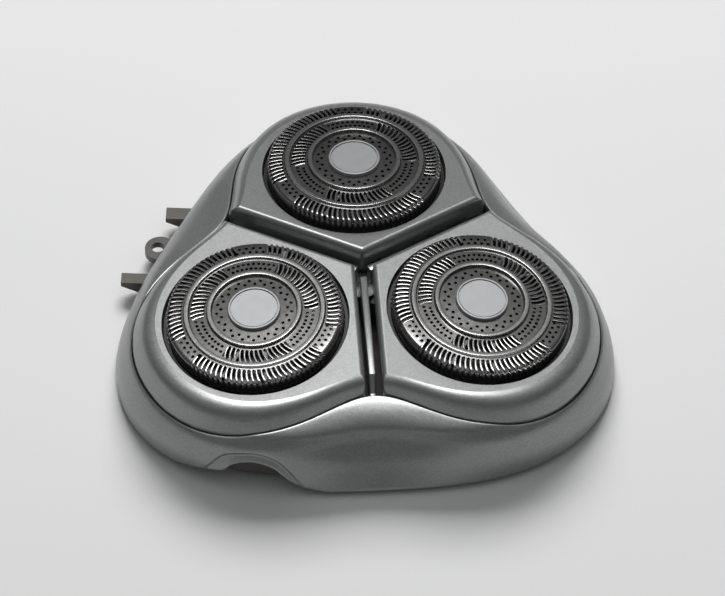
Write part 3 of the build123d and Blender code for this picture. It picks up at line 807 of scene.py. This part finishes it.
def make_wall():
    """The skirt's wall, as one mesh because its closed outline changes all the way round the lobes."""
    angles = []
    angle = 0
    while angle < 360:
        angles.append(angle)
        angle += FINE_STEP if any(start <= angle < end for start, end in FINE_ANGLES) else COARSE_STEP
    profiles = [skirt_profile(angle) for angle in angles]
    places = []
    for angle, profile in zip(angles, profiles):
        turn = Vector((cos(radians(angle)), sin(radians(angle))))
        for radius, height in profile:
            places.append((turn.x * radius * MM, turn.y * radius * MM, height * MM))
    count = len(profiles[0])
    faces = []
    for ring in range(len(angles)):
        here, after = ring * count, (ring + 1) % len(angles) * count
        for point in range(count):
            above = (point + 1) % count
            faces.append((here + point, after + point, after + above, here + above))
    mesh = bpy.data.meshes.new("skirt")
    mesh.from_pydata(places, [], faces)
    wall = bpy.data.objects.new("outer_skirt_detail", mesh)
    bpy.context.scene.collection.objects.link(wall)
    return wall


def make_skirt():
    """The skirt: its wall, with the ribs, bosses and hub inside."""
    def metres(outline):
        """An outline in millimetres, in metres."""
        return [(x * MM, y * MM) for x, y in outline]

    def post(name, radius, top):
        """A round post with a bore, which stands on the axis."""
        corners = [(BOSS_BORE, BOSS_FOOT), (radius, BOSS_FOOT), (radius, top), (BOSS_BORE, top)]
        return spun(name, metres(corners), BOSS_STEPS)

    parts = [make_wall()]
    rib_outline = metres([
        (RIB_START, RIB_FOOT),
        (RIB_START, RIB_TOP_IN),
        (RIB_END, RIB_TOP_OUT),
        (RIB_END + RIB_DIVE, HUB_TOP),
        (BOSS_CIRCLE, HUB_TOP),
        (BOSS_CIRCLE, RIB_FOOT),
    ])
    rib = prism("rib", rib_outline, -RIB_WIDTH / 2 * MM, RIB_WIDTH / 2 * MM)
    rib.data.transform(Matrix.Rotation(pi / 2, 4, "X"))
    soften(rib, RIB_ROUND * MM)
    parts += around(rib, RIB_ANGLES)
    boss = post("boss", BOSS_RADIUS, BOSS_TOP)
    boss.data.transform(Matrix.Translation((BOSS_CIRCLE * MM, 0, 0)))
    parts += around(boss, RIB_ANGLES)
    parts.append(post("hub", HUB_RADIUS, HUB_TOP))
    skirt = joined(parts)
    bpy.ops.object.shade_smooth_by_angle(angle=radians(SKIRT_SMOOTH))
    return skirt


def head_places():
    """Where each head stands: the axis on which its cutter spins."""
    places = {}
    for joint in frame["joints"]:
        if joint["name"].endswith("_spin"):
            axis = Vector(joint["axis"])
            across = Vector((1, 0, 0)) - axis * axis.x
            across.normalize()
            turn = Matrix((across, axis.cross(across), axis)).transposed().to_4x4()
            name = joint["parent"].removeprefix("petal_")
            places[name] = Matrix.Translation(joint["pos_m"]) @ turn
    return places


def place_on_heads(piece, node, slot):
    """Copies a piece made round the axis onto the three heads, in place of their CAD nodes."""
    dress(piece, looks[slot])
    bpy.ops.object.select_all(action="DESELECT")
    bpy.context.view_layer.objects.active = piece
    piece.select_set(True)
    bpy.ops.object.shade_smooth_by_angle(angle=radians(HEAD_SMOOTH))
    places = piece.data.attributes.new("head_place", "FLOAT_VECTOR", "POINT")
    for vertex, entry in zip(piece.data.vertices, places.data):
        entry.vector = vertex.co
    for name, matrix in head_places().items():
        copy = bpy.data.objects.new(f"{node}_{name}_detail", piece.data.copy())
        copy.data.transform(matrix)
        bpy.context.scene.collection.objects.link(copy)
        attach(copy, f"petal_{name}")
        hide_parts(f"{node}_{name}")
    bpy.data.objects.remove(piece)


def add_floor():
    """A plain pale floor."""
    bpy.ops.mesh.primitive_plane_add(size=FLOOR_SIZE, location=(0, 0, -FLOOR_DROP))
    floor = bpy.context.object
    floor.name = "floor"
    pale = Finish("floor", FLOOR_COLOR, 0, FLOOR_ROUGHNESS)
    pale.tint(pale.noise(FLOOR_GRAIN), FLOOR_SHADE)
    floor.data.materials.append(pale.material)


def add_sky():
    """The room's light: brighter towards straight overhead."""
    world = bpy.data.worlds.new("world")
    bpy.context.scene.world = world
    world.use_nodes = True
    sky = Link(world.node_tree)
    direction = sky.node("ShaderNodeTexCoord", {}, {}, "Generated")
    height = sky.node("ShaderNodeSeparateXYZ", {}, {"Vector": direction}, 2)
    rise = sky.node("ShaderNodeClamp", {}, {"Value": height})
    steep = rise * rise
    matt = sky.node("ShaderNodeLightPath", {}, {}, "Is Diffuse Ray")
    strength = steep * steep * (1 - matt * SKY_MATT_LOSS) * SKY_OVERHEAD + SKY_LEVEL
    background = world.node_tree.nodes["Background"]
    world.node_tree.links.new(strength.socket, background.inputs["Strength"])
    background.inputs["Color"].default_value = SKY_COLOR


bpy.ops.object.select_all(action="DESELECT")
add_camera()
add_floor()
add_light("key", KEY_PLACE, KEY_SIZE, KEY_POWER).visible_diffuse = False
add_light("back", BACK_PLACE, BACK_SIZE, BACK_POWER).visible_glossy = False
add_sky()

# A finish for each material slot: its colour, the colour mixed in, its roughness, and last the grain of
# a plastic, the stretch of a ground steel's scratches or the depth of turned lines
looks = {
    "silver_shell": silver_paint(),
    "black_ring": plastic("black_ring", (0.006, 0.006, 0.006), (0.014, 0.014, 0.014), 0.42, 0.25 * MM),
    "dark_frame": plastic("dark_frame", (0.08, 0.075, 0.063), (0.13, 0.122, 0.105), 0.36, 0.35 * MM),
    "guard_steel": turned_metal(
        "guard_steel", (0.135, 0.132, 0.129), (0.34, 0.336, 0.33), 0.24, 0.002 * MM, True,
    ),
    "disc_steel": turned_metal("disc_steel", (0.28, 0.287, 0.29), (0.39, 0.398, 0.405), 0.6, 0.003 * MM),
    # The cutters' steel is far darker than bare steel: painted shade for the dark hollow seen through
    # the guard's slots.
    "cutter_steel": steel("cutter_steel", (0.1, 0.1, 0.1), (0.2, 0.2, 0.2), 0.35, (1, 0.06, 1)),
    "carrier_plastic": plastic("carrier_plastic", (0.66, 0.66, 0.62), (0.75, 0.75, 0.72), 0.5, 0.5 * MM),
    "bright_steel": steel("bright_steel", (0.5, 0.5, 0.5), (0.68, 0.68, 0.68), 0.28, (0.08, 1, 1)),
}
for part in frame["record"]["subparts"]:
    dress(frame["nodes"][part["node"]], looks[part["material_slot"]])

skirt = make_skirt()
dress(skirt, looks["silver_shell"])
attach(skirt, "frame")
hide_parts("outer_skirt")
place_on_heads(make_guard(), "guard", "guard_steel")
place_on_heads(make_disc(), "centre_disc", "disc_steel")

bpy.context.scene.view_settings.view_transform = "Standard"
